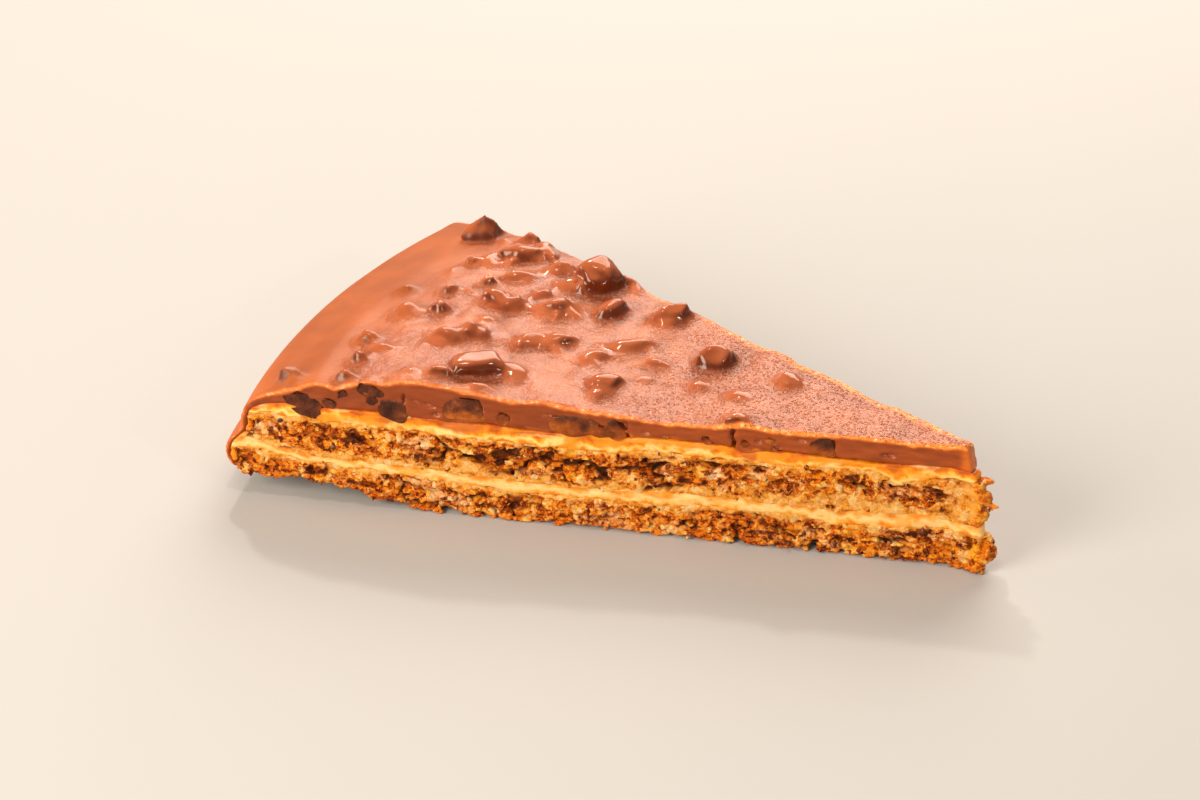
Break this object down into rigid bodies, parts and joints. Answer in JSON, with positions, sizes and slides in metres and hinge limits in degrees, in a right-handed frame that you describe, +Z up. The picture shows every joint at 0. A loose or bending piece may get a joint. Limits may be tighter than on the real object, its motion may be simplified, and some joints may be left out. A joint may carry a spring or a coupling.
{
  "type": "slice of almond toffee cake",
  "caption": "Wedge cut from a round layer cake: almond sponges with butter cream between, and a lumpy milk chocolate and toffee coat that runs over the round rim.",
  "frame": {"origin": "on the surface that the slice lies on, under the middle of its box", "axes": "+X from the round rim to the point, along the slice's middle line; +Z up, away from the underside; the two cuts face -Y and +Y"},
  "size_m": [0.1354, 0.0758, 0.0312],
  "materials": {
    "sponge": "rough, grainy almond crumb, golden brown with dark skins",
    "cream": "smooth, soft satin, pale butter yellow",
    "chocolate": "satin milk chocolate, fine grain on top",
    "toffee": "glassy dark amber where the knife laid it bare",
    "almond": "pale chopped almond in the crumb"
  },
  "bodies": {
    "root": {"base_sponge": "sponge", "lower_cream": "cream", "middle_sponge": "sponge", "upper_cream": "cream", "milk_chocolate": "chocolate"}
  },
  "joints": []
}
